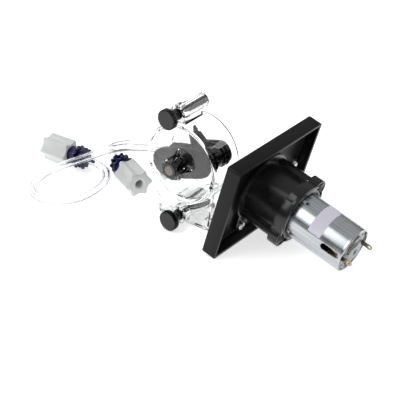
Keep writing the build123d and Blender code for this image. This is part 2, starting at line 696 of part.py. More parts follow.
def make_squeeze_tube():
    radii = tube_radii(TUBE_POINTS)
    path = FilletPolyline(*TUBE_POINTS, radius=radii)
    end_plane = Plane(origin=path @ 0, z_dir=path % 0)
    section = end_plane * (Circle(TUBE_R) - Circle(TUBE_BORE_R))
    tube = sweep(section, path=path)
    area = pi * (TUBE_R ** 2 - TUBE_BORE_R ** 2)
    print("tube radii", [round(r, 1) for r in radii])
    print("tube length", round(path.length, 1), "volume ratio", round(tube.volume / (area * path.length), 4))
    return tube


# ---------------------------------------------------------------- placing and writing
DRIVE = Pos(0, PLATE_Y, PLATE_Z) * Rot(90 + LEAN, 0, 0)
HEAD_ORIGIN = (HEAD_X, PLATE_Y + HEAD_GAP, HEAD_AXIS_HEIGHT)
HEAD = Plane(origin=HEAD_ORIGIN, x_dir=(0, 1, 0), z_dir=(1, 0, 0)).location


def fitting_place(end, turn):
    direction = Vector(cos(radians(turn)), sin(radians(turn)), 0)
    across = Vector(-sin(radians(turn)), cos(radians(turn)), 0)
    return Plane(origin=(end[0], end[1], FITTING_HEIGHT), x_dir=across, z_dir=direction).location


def build():
    drive = {
        "mounting_plate": make_mounting_plate(), "gear_housing": make_gear_housing(),
        "thumb_nuts": make_thumb_nuts(), "housing_screws": make_housing_screws(),
        "output_bush": make_output_bush(), "planet_carrier": make_planet_carrier(),
        "drive_cross_pin": make_drive_cross_pin(), "planet_pins": make_planet_pins(),
        "ring_gear": make_ring_gear(), "gearbox_cover": make_gearbox_cover(),
        "motor_collar": make_motor_collar(), "motor_screws": make_motor_screws(),
        "motor_can": make_motor_can(), "motor_end_cap": make_motor_end_cap(),
        "terminal_insulators": make_terminal_insulators(), "brushes": make_brushes(),
        "terminal_left": make_terminal(-1), "terminal_right": make_terminal(1),
        "magnets": make_magnets(), "motor_front_bush": make_front_bush(),
        "motor_rear_bush": make_rear_bush(), "motor_shaft": make_motor_shaft(),
        "sun_pinion": make_sun_pinion(), "armature_core": make_armature_core(),
        "armature_windings": make_windings(), "commutator": make_commutator(),
    }
    for i in range(PLANET_COUNT):
        drive[f"planet_gear_{i + 1}"] = make_planet(i)
    head = {
        "head_housing": make_head_housing(), "head_bush": make_head_bush(),
        "rotor_shaft": make_rotor_shaft(), "rotor_front_plate": make_rotor_front_plate(),
        "rotor_hub": make_rotor_hub(), "rotor_rear_plate": make_rotor_rear_plate(),
        "roller_pins": make_roller_pins(),
        "roller_a": make_roller(-1), "roller_b": make_roller(1),
    }
    for name, side in (("top", 1), ("bottom", -1)):
        head[f"thumb_screw_{name}"] = make_knob_screw(side)
        head[f"screw_washer_{name}"] = make_screw_washer(side)
        head[f"screw_spring_{name}"] = make_spring(side)
        head[f"screw_collar_{name}"] = make_screw_collar(side)
    placed = {name: DRIVE * shape for name, shape in drive.items()}
    placed.update({name: HEAD * shape for name, shape in head.items()})
    ends = (("a", FITTING_A_END, FITTING_A_TURN), ("b", FITTING_B_END, FITTING_B_TURN))
    for name, end, turn in ends:
        place = fitting_place(end, turn)
        placed[f"fitting_{name}"] = place * make_fitting()
        placed[f"ferrule_{name}"] = place * make_ferrule()
        placed[f"nut_{name}"] = place * make_nut()
    placed["squeeze_tube"] = make_squeeze_tube()
    return placed


for node, shape in build().items():
    export_step(shape, f"parts/{node}.step")
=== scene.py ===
import json
from math import atan2, cos, pi, radians, sin, sqrt

import bpy
from mathutils import Matrix, Vector


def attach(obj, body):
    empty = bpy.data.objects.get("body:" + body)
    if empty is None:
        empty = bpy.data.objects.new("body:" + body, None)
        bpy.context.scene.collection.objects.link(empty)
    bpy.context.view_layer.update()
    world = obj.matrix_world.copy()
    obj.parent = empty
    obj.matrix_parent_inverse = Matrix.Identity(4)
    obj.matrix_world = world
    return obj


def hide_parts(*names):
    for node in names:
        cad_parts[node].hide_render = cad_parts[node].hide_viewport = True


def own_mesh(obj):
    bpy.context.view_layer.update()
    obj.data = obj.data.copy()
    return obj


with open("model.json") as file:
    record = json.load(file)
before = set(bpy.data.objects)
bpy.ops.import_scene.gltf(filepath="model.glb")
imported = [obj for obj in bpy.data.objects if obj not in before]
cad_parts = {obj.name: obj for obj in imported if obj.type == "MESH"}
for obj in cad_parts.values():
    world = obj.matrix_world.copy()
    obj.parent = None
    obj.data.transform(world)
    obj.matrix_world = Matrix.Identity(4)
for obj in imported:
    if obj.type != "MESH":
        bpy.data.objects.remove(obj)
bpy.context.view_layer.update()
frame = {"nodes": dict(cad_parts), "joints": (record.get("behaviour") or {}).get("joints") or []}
nodes = frame["nodes"]
MM = 0.001

# ---------------------------------------------------------------- sizes, in millimetres
TUBE_R = 3.2
TUBE_WALL = 1.6
PLATE_SIZE = (101.6, 82.5, 11.8)
PLATE_FLOOR = 3.0
FLOOR_BACK = PLATE_FLOOR - PLATE_SIZE[2]
SCREW_SPREAD = 42.8
INSERT_R = 3.5
INSERT_HEAD_R = 4.1
THREAD_R = 1.75
SCREW_HEAD_R = 3.6
FLANGE_T = 3.0
FLANGE_SCREW_X = 15.0
FLANGE_SCREW_Y = 31.0
MOTOR_R = 18.0
MOTOR_FRONT = 27.0
MOTOR_END = 78.6
MOTOR_WALL = 1.4
END_PLATE_R = 16.6
TERMINAL_X = 13.5
TERMINAL_WIDTH = 4.0
TERMINAL_T = 0.6
TERMINAL_OUT = 8.0
LABEL_ANGLE = 112.0
LABEL_SPAN = 96.0
LABEL_MIDDLE = 52.6
LABEL_WIDTH = 11.0
KNOB_R = 8.0
KNOB_T = 5.0
KNURLS = 30
SHANK_R = 2.3
SHANK_END = 42.6
THREAD_PITCH = 0.8
SPRING_R = 3.5
SPRING_WIRE_R = 0.45
SPRING_TURNS = 4
SPRING_BACK = 10.45
ROLLER_R = 7.8
ROLLER_RING_R = 9.3
ROLLER_FROM = 19.0
ROLLER_LENGTH = 18.4
ROLLER_OFFSET = 18.2
ROTOR_ANGLE = -16.0
ROTOR_JOINT_Z = 20.0         # the rotor joint, from the knobs' middle
ROTOR_FRONT = 15.5
ROTOR_PLATE_T = 3.0
ROTOR_HALF = 28.3
ROTOR_END_R = 11.6
ROTOR_WAIST_R = 12.4
NUT_CORNER_R = 11.6
NUT_FROM = 25.0
NUT_LENGTH = 25.0
NUT_JOINT_Z = 35.0           # the nut joint, from the tube's end in the fitting
NUT_FLUTE_R = 7.0
NUT_FLUTE_DEPTH = 1.4
NUT_BORE_R = 3.3
NUT_THREAD_R = 6.6
NUT_THREAD_DEPTH = 13.5
DISC_R = 9.6
SMALL_DISC_R = 9.0
DISC_T = 2.0
SMALL_DISC_FROM = 10.2
DISC_FROM = 16.2
BORE_R = 1.0
NECK_R = 4.6
BLOCK_R = 7.0

WORLD_STRENGTH = 0.46

# The tube's route: out of fitting A, round to the left, over fitting B, round the right-hand
# side and into fitting B from behind.
TUBE_POINTS = [
    (-8.7, 169.1, 10.0),
    (-7.6, 151.0, 9.9),
    (-19.5, 137.0, 8.0),
    (-37.0, 135.5, 5.0),
    (-54.0, 139.5, 3.5),
    (-67.5, 151.0, 3.2),
    (-69.6, 168.4, 3.2),
    (-60.1, 183.1, 3.2),
    (-43.3, 188.1, 4.2),
    (-27.6, 181.0, 8.2),
    (-19.6, 165.8, 15.8),
    (-10.0, 151.5, 23.4),
    (-0.2, 138.0, 28.2),
    (14.2, 125.5, 26.6),
    (33.7, 122.5, 17.6),
    (49.7, 130.6, 9.0),
    (57.2, 144.7, 4.4),
    (55.0, 160.5, 3.2),
    (43.7, 171.9, 3.4),
    (27.9, 174.3, 5.8),
    (13.8, 166.7, 9.9),
    (4.4, 146.4, 10.0),
]


def joint_frame(name, along=0.0):
    """A frame at a joint: Z along its axis, Y as near upright as it can be."""
    joint = next(j for j in frame["joints"] if j["name"] == name)
    z = Vector(joint["axis"]).normalized()
    y = (Vector((0, 0, 1)) - z * z.z).normalized()
    turn = Matrix((y.cross(z), y, z)).transposed().to_4x4()
    return Matrix.Translation(Vector(joint["pos_m"]) + z * along) @ turn


DRIVE = joint_frame("carrier_spin")
HEAD = joint_frame("rotor_spin", -ROTOR_JOINT_Z * MM)


# ---------------------------------------------------------------- shader expressions
class Value:
    """A shader socket. Arithmetic on it adds Math nodes."""

    def __init__(self, paint, socket):
        self.paint = paint
        self.socket = socket

    def math(self, operation, *values):
        return self.paint.add("ShaderNodeMath", {"operation": operation}, *values)

    def __add__(self, other):
        return self.math("ADD", self, other)

    def __radd__(self, other):
        return self.math("ADD", other, self)

    def __sub__(self, other):
        return self.math("SUBTRACT", self, other)

    def __rsub__(self, other):
        return self.math("SUBTRACT", other, self)

    def __mul__(self, other):
        return self.math("MULTIPLY", self, other)

    def __rmul__(self, other):
        return self.math("MULTIPLY", other, self)


class Paint:
    """A material whose nodes are added one by one."""

    def __init__(self, name):
        self.material = bpy.data.materials.new(name)
        self.material.use_nodes = True
        self.tree = self.material.node_tree
        self.tree.nodes.clear()
        self.place = self.add("ShaderNodeTexCoord", {}, out="Object")

    def add(self, kind, settings, *values, out=0, **named):
        node = self.tree.nodes.new(kind)
        for key, setting in settings.items():
            if key == "stops":
                self.set_stops(node.color_ramp, setting)
            else:
                setattr(node, key, setting)
        for key, value in list(enumerate(values)) + list(named.items()):
            socket = node.inputs[key if isinstance(key, int) else key.replace("_", " ")]
            if isinstance(value, Value):
                self.tree.links.new(value.socket, socket)
            elif value is not None:
                socket.default_value = value
        return Value(self, node.outputs[out])

    def set_stops(self, ramp, stops):
        while len(ramp.elements) < len(stops):
            ramp.elements.new(0.5)
        for element, (position, colour) in zip(ramp.elements, stops):
            element.position = position
            element.color = colour

    def scaled(self, scale, tilt=0.0):
        """The object's own coordinates, tilted about X, then stretched to cycles per millimetre."""
        size = tuple(s * 1000 for s in scale)
        level = self.add("ShaderNodeVectorRotate", {"rotation_type": "X_AXIS"}, self.place, Angle=tilt)
        return self.add("ShaderNodeMapping", {"vector_type": "POINT"}, level, Scale=size)

    def noise(self, scale, detail=3.0, rough=0.5, vector=None):
        """Noise of so many cycles per millimetre."""
        where = vector or self.place
        size = scale if vector else scale * 1000
        return self.add("ShaderNodeTexNoise", {}, Vector=where, Scale=size, Detail=detail, Roughness=rough)

    def mix(self, factor, a, b):
        mixer = self.tree.nodes.new("ShaderNodeMix")
        mixer.data_type = "RGBA"
        for index, value in ((0, factor), (6, a), (7, b)):
            if isinstance(value, Value):
                self.tree.links.new(value.socket, mixer.inputs[index])
            else:
                mixer.inputs[index].default_value = value
        return Value(self, mixer.outputs[2])

    def range(self, value, low, high, start=0.3, end=0.7):
        return self.add("ShaderNodeMapRange", {}, value, start, end, low, high)

    def bump(self, height, strength, distance):
        """A bump whose distance is in millimetres."""
        return self.add("ShaderNodeBump", {}, Strength=strength, Distance=distance * MM, Height=height)

    def surface(self, **sockets):
        shader = self.add("ShaderNodeBsdfPrincipled", {}, **sockets)
        output = self.tree.nodes.new("ShaderNodeOutputMaterial")
        self.tree.links.new(shader.socket, output.inputs["Surface"])
        return self.material


def grey(value, alpha=1.0):
    return (value, value, value, alpha)


# ---------------------------------------------------------------- materials
def moulded(name, colour, rough, grain=0.02, specular=0.5, vary=0.25, coat=0.0):
    """Moulded plastic: fine grain, faint cloudiness and small changes of gloss."""
    paint = Paint(name)
    cloud = paint.noise(0.06, 4)
    fine = paint.noise(2.4, 3, 0.6)
    dark = tuple(c * (1 - vary) for c in colour[:3]) + (1,)
    light = tuple(c * (1 + vary) for c in colour[:3]) + (1,)
    tint = paint.mix(paint.range(cloud, 0, 1), dark, light)
    gloss = paint.range(cloud, rough * 0.85, rough * 1.15) + (fine - 0.5) * 0.08
    return paint.surface(Base_Color=tint, Roughness=gloss, Specular_IOR_Level=specular,
                         Coat_Weight=coat, Coat_Roughness=0.1,
                         Normal=paint.bump(fine, 0.35, grain))


def metal(name, colour, rough, scale=(0.5, 0.5, 0.5), strength=0.1, tilt=0.0, vary=0.12):
    """Bare metal with fine working marks, drawn out along the axis whose scale is smallest."""
    paint = Paint(name)
    marks = paint.noise(1.0, 5, 0.62, paint.scaled(scale, tilt))
    cloud = paint.noise(0.08, 3)
    dark = tuple(c * (1 - vary) for c in colour[:3]) + (1,)
    tint = paint.mix(paint.range(marks, 0, 1, 0.25, 0.75), dark, colour)
    gloss = paint.range(marks, rough * 0.7, rough * 1.4) + (cloud - 0.5) * 0.1
    return paint.surface(Base_Color=tint, Metallic=1.0, Roughness=gloss,
                         Normal=paint.bump(marks, strength, 0.01))


def clear(name, colour, rough, ior, wave=0.02, weight=1.0):
    """Clear plastic with a faint ripple in its skin."""
    paint = Paint(name)
    ripple = paint.noise(0.09, 2)
    fine = paint.noise(1.4, 2)
    return paint.surface(Base_Color=colour, Roughness=paint.range(fine, rough * 0.6, rough * 1.5),
                         IOR=ior, Transmission_Weight=weight, Normal=paint.bump(ripple, 0.4, wave))


def make_materials():
    tilt = -atan2(DRIVE[2][2], DRIVE[1][2]) - pi
    return {
        "black_plastic": moulded("black_plastic", (0.0042, 0.0040, 0.0038, 1), 0.34, 0.02, 0.2),
        "housing_black": moulded("housing_black", (0.0040, 0.0038, 0.0038, 1), 0.25, 0.01, 0.5),
        "rotor_grey": moulded("rotor_grey", (0.010, 0.009, 0.0088, 1), 0.5, 0.05, 0.2),
        "rotor_black": moulded("rotor_black", (0.0045, 0.0045, 0.005, 1), 0.2, 0.01, 0.6),
        "knob_black": moulded("knob_black", (0.0050, 0.0050, 0.0052, 1), 0.26, 0.01, 0.45),
        "navy_plastic": moulded("navy_plastic", (0.0085, 0.0065, 0.062, 1), 0.3, 0.02, 0.4),
        "white_nut": moulded("white_nut", (0.68, 0.70, 0.69, 1), 0.38, 0.03, 0.35, 0.03),
        "white_acetal": moulded("white_acetal", (0.78, 0.78, 0.74, 1), 0.4, 0.03, 0.5, 0.04),
        "carbon": moulded("carbon", (0.02, 0.02, 0.021, 1), 0.7, 0.06, 0.3),
        "label_paper": moulded("label_paper", (0.70, 0.68, 0.78, 1), 0.55, 0.01, 0.2, 0.03),
        "red_paint": moulded("red_paint", (0.5, 0.01, 0.01, 1), 0.4, 0.01, 0.4, 0.05),
        "steel_bright": metal("steel_bright", (0.62, 0.61, 0.6, 1), 0.22, (1.5, 1.5, 1.5)),
        "shaft_steel": metal("shaft_steel", (0.24, 0.225, 0.21, 1), 0.5, (1.2, 1.2, 1.2)),
        "zinc_can": metal("zinc_can", (0.62, 0.65, 0.68, 1), 0.26, (0.9, 0.015, 0.9), 0.05, tilt, 0.45),
        "zinc_end": metal("zinc_end", (0.40, 0.41, 0.42, 1), 0.34, (0.6, 0.6, 0.6), 0.1, vary=0.4),
        "brass": metal("brass", (0.52, 0.45, 0.30, 1), 0.3, (1.2, 1.2, 1.2), vary=0.3),
        "bronze_bush": metal("bronze_bush", (0.30, 0.24, 0.17, 1), 0.45, (2, 2, 2)),
        "copper": metal("copper", (0.72, 0.35, 0.18, 1), 0.3, (0.4, 3, 3)),
        "dark_steel": metal("dark_steel", (0.12, 0.12, 0.125, 1), 0.42, (1, 1, 1)),
        "spring_steel": metal("spring_steel", (0.07, 0.07, 0.075, 1), 0.3, (2, 2, 2)),
        "clear_plastic": clear("clear_plastic", (0.982, 0.994, 0.987, 1), 0.015, 1.47),
        "clear_tube": clear("clear_tube", (0.955, 0.955, 0.978, 1), 0.07, 1.40),
    }


# ---------------------------------------------------------------- modelling helpers
def choose(obj):
    bpy.ops.object.select_all(action="DESELECT")
    obj.select_set(True)
    bpy.context.view_layer.objects.active = obj


def apply_modifier(obj, kind, **settings):
    choose(obj)
    modifier = obj.modifiers.new(kind.lower(), kind)
    for key, value in settings.items():
        setattr(modifier, key, value)
    bpy.ops.object.modifier_apply(modifier=modifier.name)
    return obj


def smooth(obj, angle=32.0):
    choose(obj)
    bpy.ops.object.shade_smooth_by_angle(angle=radians(angle))
    return obj


def bevelled(obj, width, segments=2, angle=35.0):
    apply_modifier(obj, "BEVEL", width=width, segments=segments, limit_method="ANGLE",
                   angle_limit=radians(angle), use_clamp_overlap=True)
    return smooth(obj)


def select_faces(obj, test):
    """Goes into edit mode with only the faces that pass a test selected."""
    mesh = obj.data
    for items in (mesh.vertices, mesh.edges):
        for item in items:
            item.select = False
    for face in mesh.polygons:
        face.select = test(face)
    bpy.context.tool_settings.mesh_select_mode = (False, False, True)
    choose(obj)
    bpy.ops.object.mode_set(mode="EDIT")


def leave():
    bpy.ops.object.mode_set(mode="OBJECT")


def faces_up(face):
    return face.normal.z > 0.9


def faces_down(face):
    return face.normal.z < -0.9


def turned(outline, steps=96):
    """A round piece: a closed outline of (radius, height) pairs spun about Z."""
    bpy.ops.object.select_all(action="DESELECT")
    bpy.ops.mesh.primitive_circle_add(vertices=len(outline), fill_type="NOTHING")
    obj = bpy.context.active_object
    for vertex, (radius, height) in zip(obj.data.vertices, outline):
        vertex.co = (radius, 0, height)
    bpy.ops.object.mode_set(mode="EDIT")
    bpy.ops.mesh.select_all(action="SELECT")
    bpy.ops.mesh.spin(steps=steps, angle=2 * pi, center=(0, 0, 0), axis=(0, 0, 1))
    bpy.ops.mesh.select_all(action="SELECT")
    bpy.ops.mesh.remove_doubles(threshold=0.0005)
    bpy.ops.mesh.delete_loose()
    bpy.ops.mesh.select_all(action="SELECT")
    bpy.ops.mesh.normals_make_consistent(inside=False)
    leave()
    return obj


def block(size, middle, turn=0.0):
    bpy.ops.object.select_all(action="DESELECT")
    bpy.ops.mesh.primitive_cube_add(size=1, location=middle, scale=size, rotation=(0, 0, turn))
    bpy.ops.object.transform_apply(location=True, rotation=True, scale=True)
    return bpy.context.active_object


def rod(radius, low, high, x=0.0, y=0.0, sides=64):
    bpy.ops.object.select_all(action="DESELECT")
    bpy.ops.mesh.primitive_cylinder_add(vertices=sides, radius=radius, depth=high - low,
                                        location=(x, y, (low + high) / 2))
    bpy.ops.object.transform_apply(location=True, rotation=True, scale=True)
    return bpy.context.active_object


def combine(obj, tool, operation):
    apply_modifier(obj, "BOOLEAN", operation=operation, object=tool, solver="EXACT")
    bpy.data.objects.remove(tool)
    return obj


def cut(obj, *tools):
    for tool in tools:
        combine(obj, tool, "DIFFERENCE")
    return obj


def join(first, *others):
    choose(first)
    for other in others:
        other.select_set(True)
    bpy.ops.object.join()
    return first


def shifted(obj, x=0.0, y=0.0, z=0.0, turn=0.0):
    obj.data.transform(Matrix.Translation((x, y, z)) @ Matrix.Rotation(turn, 4, "Z"))
    return obj


def polar(radius, angle):
    return radius * cos(radians(angle)), radius * sin(radians(angle))


def arc(radius, start, end, steps, x=0.0, y=0.0):
    """Points of a round corner."""
    turns = [start + (end - start) * i / steps for i in range(steps + 1)]
    return [(x + radius * cos(radians(a)), y + radius * sin(radians(a))) for a in turns]


def twin(obj):
    """A copy with its own mesh."""
    copy = obj.copy()
    copy.data = obj.data.copy()
    bpy.context.scene.collection.objects.link(copy)
    return copy


def finish_piece(obj, name, place, body, paint, replaced=()):
    """Puts a piece, modelled in millimetres about its own axis, where it belongs on its body."""
    obj.name = name
    obj.data.name = name
    obj.data.transform(place @ Matrix.Scale(MM, 4))
    obj.data.materials.clear()
    obj.data.materials.append(materials[paint])
    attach(obj, body)
    if replaced:
        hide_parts(*replaced)
    return obj


# ---------------------------------------------------------------- drive unit pieces
def refined(node, width, angle=40.0, segments=2):
    """A frame piece taken as one skin, in millimetres, its flats joined and its edges rounded."""
    piece = twin(nodes[node])
    piece.parent = None
    choose(piece)
    bpy.ops.object.mode_set(mode="EDIT")
    bpy.ops.mesh.select_all(action="SELECT")
    bpy.ops.mesh.remove_doubles(threshold=0.000002)
    bpy.ops.mesh.customdata_custom_splitnormals_clear()
    bpy.ops.mesh.normals_make_consistent(inside=False)
    leave()
    apply_modifier(piece, "DECIMATE", decimate_type="DISSOLVE", angle_limit=radians(0.4))
    piece.data.transform(Matrix.Scale(1 / MM, 4))
    return bevelled(piece, width, segments, angle)


def make_refined(node, name, body, paint, width, angle=40.0, segments=2):
    finish_piece(refined(node, width, angle, segments), name, Matrix.Identity(4), body, paint, [node])


def make_plate_nuts():
    """Domed nuts pressed into the tray floor."""
    top = FLOOR_BACK + 1.4
    outline = [(THREAD_R, -11.6), (INSERT_R, -11.6), (INSERT_R, FLOOR_BACK)]
    outline += [(INSERT_HEAD_R, FLOOR_BACK), (INSERT_HEAD_R, top)]
    outline += [(3.7 * cos(radians(a)), top + 3.0 * sin(radians(a))) for a in range(0, 91, 10)]
    outline += [(0, top + 0.2), (THREAD_R, top)]
    dome = smooth(turned(outline, 64), 30)
    domes = [shifted(twin(dome), x=side * SCREW_SPREAD) for side in (-1, 1)]
    bpy.data.objects.remove(dome)
    finish_piece(join(*domes), "plate_dome_nuts", DRIVE, "drive_unit", "steel_bright",
                 ["thumb_nuts"])


def make_flange_screws():
    """Pan-head screws with a cross recess."""
    top = FLOOR_BACK + FLANGE_T
    outline = [(0, top - 5.5), (1.45, top - 5.5), (1.45, top), (SCREW_HEAD_R, top), (SCREW_HEAD_R, top + 0.9)]
    outline += [(SCREW_HEAD_R - 1.6 + 1.6 * cos(radians(a)), top + 0.9 + 1.6 * sin(radians(a)))
                for a in range(15, 91, 15)]
    outline += [(0, top + 2.55)]
    screw = turned(outline, 48)
    cut(screw, block((3.6, 0.8, 2), (0, 0, top + 2.4)), block((0.8, 3.6, 2), (0, 0, top + 2.4)))
    smooth(screw, 30)
    screws = [shifted(twin(screw), side * FLANGE_SCREW_X, -FLANGE_SCREW_Y) for side in (-1, 1)]
    bpy.data.objects.remove(screw)
    finish_piece(join(*screws), "flange_screws", DRIVE, "drive_unit", "steel_bright",
                 ["housing_screws"])


def make_motor_can():
    """A drawn steel can with a rolled rear rim, two brush windows and four punched marks."""
    front, end, r = MOTOR_FRONT, MOTOR_END, MOTOR_R
    inner = r - MOTOR_WALL
    outline = [(4.0, front - 2), (6.2, front - 2), (6.5, front - 1.7), (6.5, front)]
    outline += [(r - 1.4 + x, front + 1.4 + y) for x, y in arc(1.4, 270, 360, 8)]
    outline += [(r - 0.18, end - 2.2), (r - 0.18, end - 1.8), (r, end - 1.4), (r, end - 0.35)]
    outline += [(r - 0.35, end), (inner + 0.2, end), (inner, end - 0.2)]
    outline += [(inner, front + 1.5), (4.0, front + 1.5)]
    can = turned(outline, 144)
    tools = []
    for angle in (172, 352):
        window = block((8, 5.0, 11.0), (r, 0, end - 10))
        for side in (-1, 1):
            round_end = rod(2.5, -4, 4, sides=32)
            centre = Matrix.Translation((r, 0, end - 10 + side * 5.5))
            round_end.data.transform(centre @ Matrix.Rotation(pi / 2, 4, "Y"))
            combine(window, round_end, "UNION")
        tools.append(shifted(window, turn=radians(angle)))
    for angle in (20, 110, 200, 290):
        tools.append(shifted(block((6, 2.2, 2.2), (r, 0, front + 8.6)), turn=radians(angle)))
    cut(can, *tools)
    bevelled(can, 0.12, 2)
    finish_piece(can, "motor_can_drawn", DRIVE, "drive_unit", "zinc_can", ["motor_can"])


def make_motor_end():
    """The pressed end plate: stepped boss, bridge across it, punched holes and crimped tabs."""
    end = MOTOR_END
    outline = [(1.9, end - 3.6), (END_PLATE_R, end - 3.6), (END_PLATE_R, end - 1.2),
               (END_PLATE_R - 0.4, end - 1.0), (11.2, end - 1.0),
               (10.8, end - 0.4), (8.2, end - 0.3), (7.9, end + 1.2), (7.2, end + 1.9), (3.0, end + 1.9),
               (2.7, end + 1.5), (1.9, end + 1.5)]
    plate = turned(outline, 128)
    tools = [block((2.4, 5.2, 6), (side * TERMINAL_X, 0, end - 1)) for side in (-1, 1)]
    for angle in (52, 128, 232, 308):
        tools.append(rod(1.1, end - 2.4, end + 1, *polar(13.6, angle), sides=24))
    for angle in (90, 270):
        tools.append(block((5.0, 1.6, 3), (*polar(13.9, angle), end)))
    cut(plate, *tools)
    bridge = block((6.4, 25, 1.5), (0, 0, end - 0.3))
    cut(bridge, rod(7.7, end - 3, end + 3))
    bevelled(bridge, 0.5, 3)
    tabs = []
    for angle in (28, 152, 208, 332):
        tab = bevelled(block((1.5, 3.4, 0.8), (16.3, 0, end - 0.55)), 0.25)
        tabs.append(shifted(tab, turn=radians(angle)))
    smooth(plate)
    finish_piece(join(plate, bridge, *tabs), "motor_end_plate", DRIVE, "drive_unit", "zinc_end",
                 ["motor_end_cap"])
    mark = turned([(0, end - 1.05), (1.5, end - 1.05), (1.3, end - 0.86), (0, end - 0.84)], 24)
    shifted(smooth(mark), *polar(13.6, 135))
    finish_piece(mark, "polarity_dot", DRIVE, "drive_unit", "red_paint")


def make_label():
    """A blank paper band wrapped part of the way round the can."""
    bpy.ops.object.select_all(action="DESELECT")
    bpy.ops.mesh.primitive_grid_add(x_subdivisions=40, y_subdivisions=4, size=2)
    label = bpy.context.active_object
    for vertex in label.data.vertices:
        angle = LABEL_ANGLE + vertex.co.x * LABEL_SPAN / 2
        x, y = polar(MOTOR_R + 0.02, angle)
        vertex.co = (x, y, LABEL_MIDDLE + vertex.co.y * LABEL_WIDTH / 2)
    apply_modifier(label, "SOLIDIFY", thickness=0.09, offset=1)
    smooth(label, 40)
    finish_piece(label, "blank_label", DRIVE, "drive_unit", "label_paper")


def make_terminal(side, name):
    """A solder tag with a rounded, pierced end."""
    x = side * TERMINAL_X
    low, high = MOTOR_END - 10.6, MOTOR_END + TERMINAL_OUT
    tag = block((TERMINAL_T, TERMINAL_WIDTH, high - 2 - low), (x, 0, (high - 2 + low) / 2))
    tip = rod(TERMINAL_WIDTH / 2, -TERMINAL_T / 2, TERMINAL_T / 2, sides=48)
    tip.data.transform(Matrix.Translation((x, 0, high - 2)) @ Matrix.Rotation(pi / 2, 4, "Y"))
    combine(tag, tip, "UNION")
    hole = rod(1.0, -1, 1, sides=32)
    hole.data.transform(Matrix.Translation((x, 0, high - 2.2)) @ Matrix.Rotation(pi / 2, 4, "Y"))
    cut(tag, hole)
    for sign in (-1, 1):
        cut(tag, block((2, 0.6, 3.0), (x, sign * 2.0, MOTOR_END + 2.0)))
    bevelled(tag, 0.08, 2)
    finish_piece(tag, f"solder_tag_{name}", DRIVE, "drive_unit", "brass", [f"terminal_{name}"])


# ---------------------------------------------------------------- pump head pieces
def make_thumb_screw(side, name):
    """A finely knurled knob on a threaded shank, turned as one piece."""
    sides = KNURLS * 4
    knob = rod(KNOB_R, -KNOB_T / 2 + 0.35, KNOB_T / 2 - 0.35, sides=sides)
    for vertex in knob.data.vertices:
        step = round(atan2(vertex.co.y, vertex.co.x) / (2 * pi) * sides) % 4
        shrink = 1.0 if step in (0, 1) else 1 - 0.75 / KNOB_R
        vertex.co.x *= shrink
        vertex.co.y *= shrink
    for test, rise in ((faces_down, -0.35), (faces_up, 0.35)):
        select_faces(knob, test)
        bpy.ops.mesh.extrude_region_move(TRANSFORM_OT_translate={"value": (0, 0, rise)})
        bpy.ops.transform.resize(value=(0.955, 0.955, 1))
        leave()
    smooth(knob, 28)
    outline = [(0, 0), (3.4, 0), (3.4, KNOB_T / 2 + 0.04), (SHANK_R, KNOB_T / 2 + 0.04)]
    z = KNOB_T / 2 + 1.5
    while z < SHANK_END - 1.2:
        outline += [(SHANK_R, z), (SHANK_R - 0.32, z + THREAD_PITCH / 2)]
        z += THREAD_PITCH
    outline += [(SHANK_R, z), (SHANK_R - 0.6, SHANK_END), (0, SHANK_END)]
    shank = smooth(turned(outline, 40), 20)
    screw = shifted(join(knob, shank), y=side * SCREW_SPREAD)
    finish_piece(screw, f"knurled_screw_{name}", HEAD, f"screw_{name}", "knob_black",
                 [f"thumb_screw_{name}"])


def make_spring(side, name):
    """A wound wire spring round the screw's shank."""
    low, high = KNOB_T / 2 + 1.0 + SPRING_WIRE_R, SPRING_BACK - SPRING_WIRE_R
    pitch = (high - low) / SPRING_TURNS
    bpy.ops.object.select_all(action="DESELECT")
    bpy.ops.mesh.primitive_circle_add(vertices=14, radius=SPRING_WIRE_R, rotation=(pi / 2, 0, 0),
                                      location=(SPRING_R - SPRING_WIRE_R, 0, low))
    bpy.ops.object.transform_apply(location=True, rotation=True, scale=True)
    spring = bpy.context.active_object
    apply_modifier(spring, "SCREW", angle=2 * pi, screw_offset=pitch, iterations=SPRING_TURNS,
                   steps=40, render_steps=40, use_merge_vertices=False)
    bpy.ops.object.mode_set(mode="EDIT")
    bpy.ops.mesh.select_all(action="SELECT")
    bpy.ops.mesh.fill_holes(sides=14)
    bpy.ops.mesh.select_all(action="SELECT")
    bpy.ops.mesh.normals_make_consistent(inside=False)
    leave()
    smooth(spring, 60)
    shifted(spring, y=side * SCREW_SPREAD)
    finish_piece(spring, f"wound_spring_{name}", HEAD, "pump_head", "spring_steel",
                 [f"screw_spring_{name}"])
    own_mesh(spring)


def make_roller(side, name):
    """A grooved roller: a drum between four raised rings."""
    low, high = ROLLER_FROM, ROLLER_FROM + ROLLER_LENGTH
    rings = ((low, 1.5), (low + 4.2, 1.2), (high - 5.4, 1.2), (high - 1.5, 1.5))
    outline = [(2.05, low)]
    for start, thick in rings:
        if start > low:
            outline += [(ROLLER_R, start - 0.02)]
        outline += [(ROLLER_RING_R - 0.25, start), (ROLLER_RING_R, start + 0.25),
                    (ROLLER_RING_R, start + thick - 0.25), (ROLLER_RING_R - 0.25, start + thick)]
        if start + thick < high:
            outline += [(ROLLER_R, start + thick + 0.02)]
    outline += [(2.05, high)]
    roller = smooth(turned(outline, 80), 25)
    x, y = polar(side * ROLLER_OFFSET, ROTOR_ANGLE)
    shifted(roller, x, y)
    finish_piece(roller, f"grooved_roller_{name}", HEAD, f"roller_{name}", "rotor_black",
                 [f"roller_{name}"])


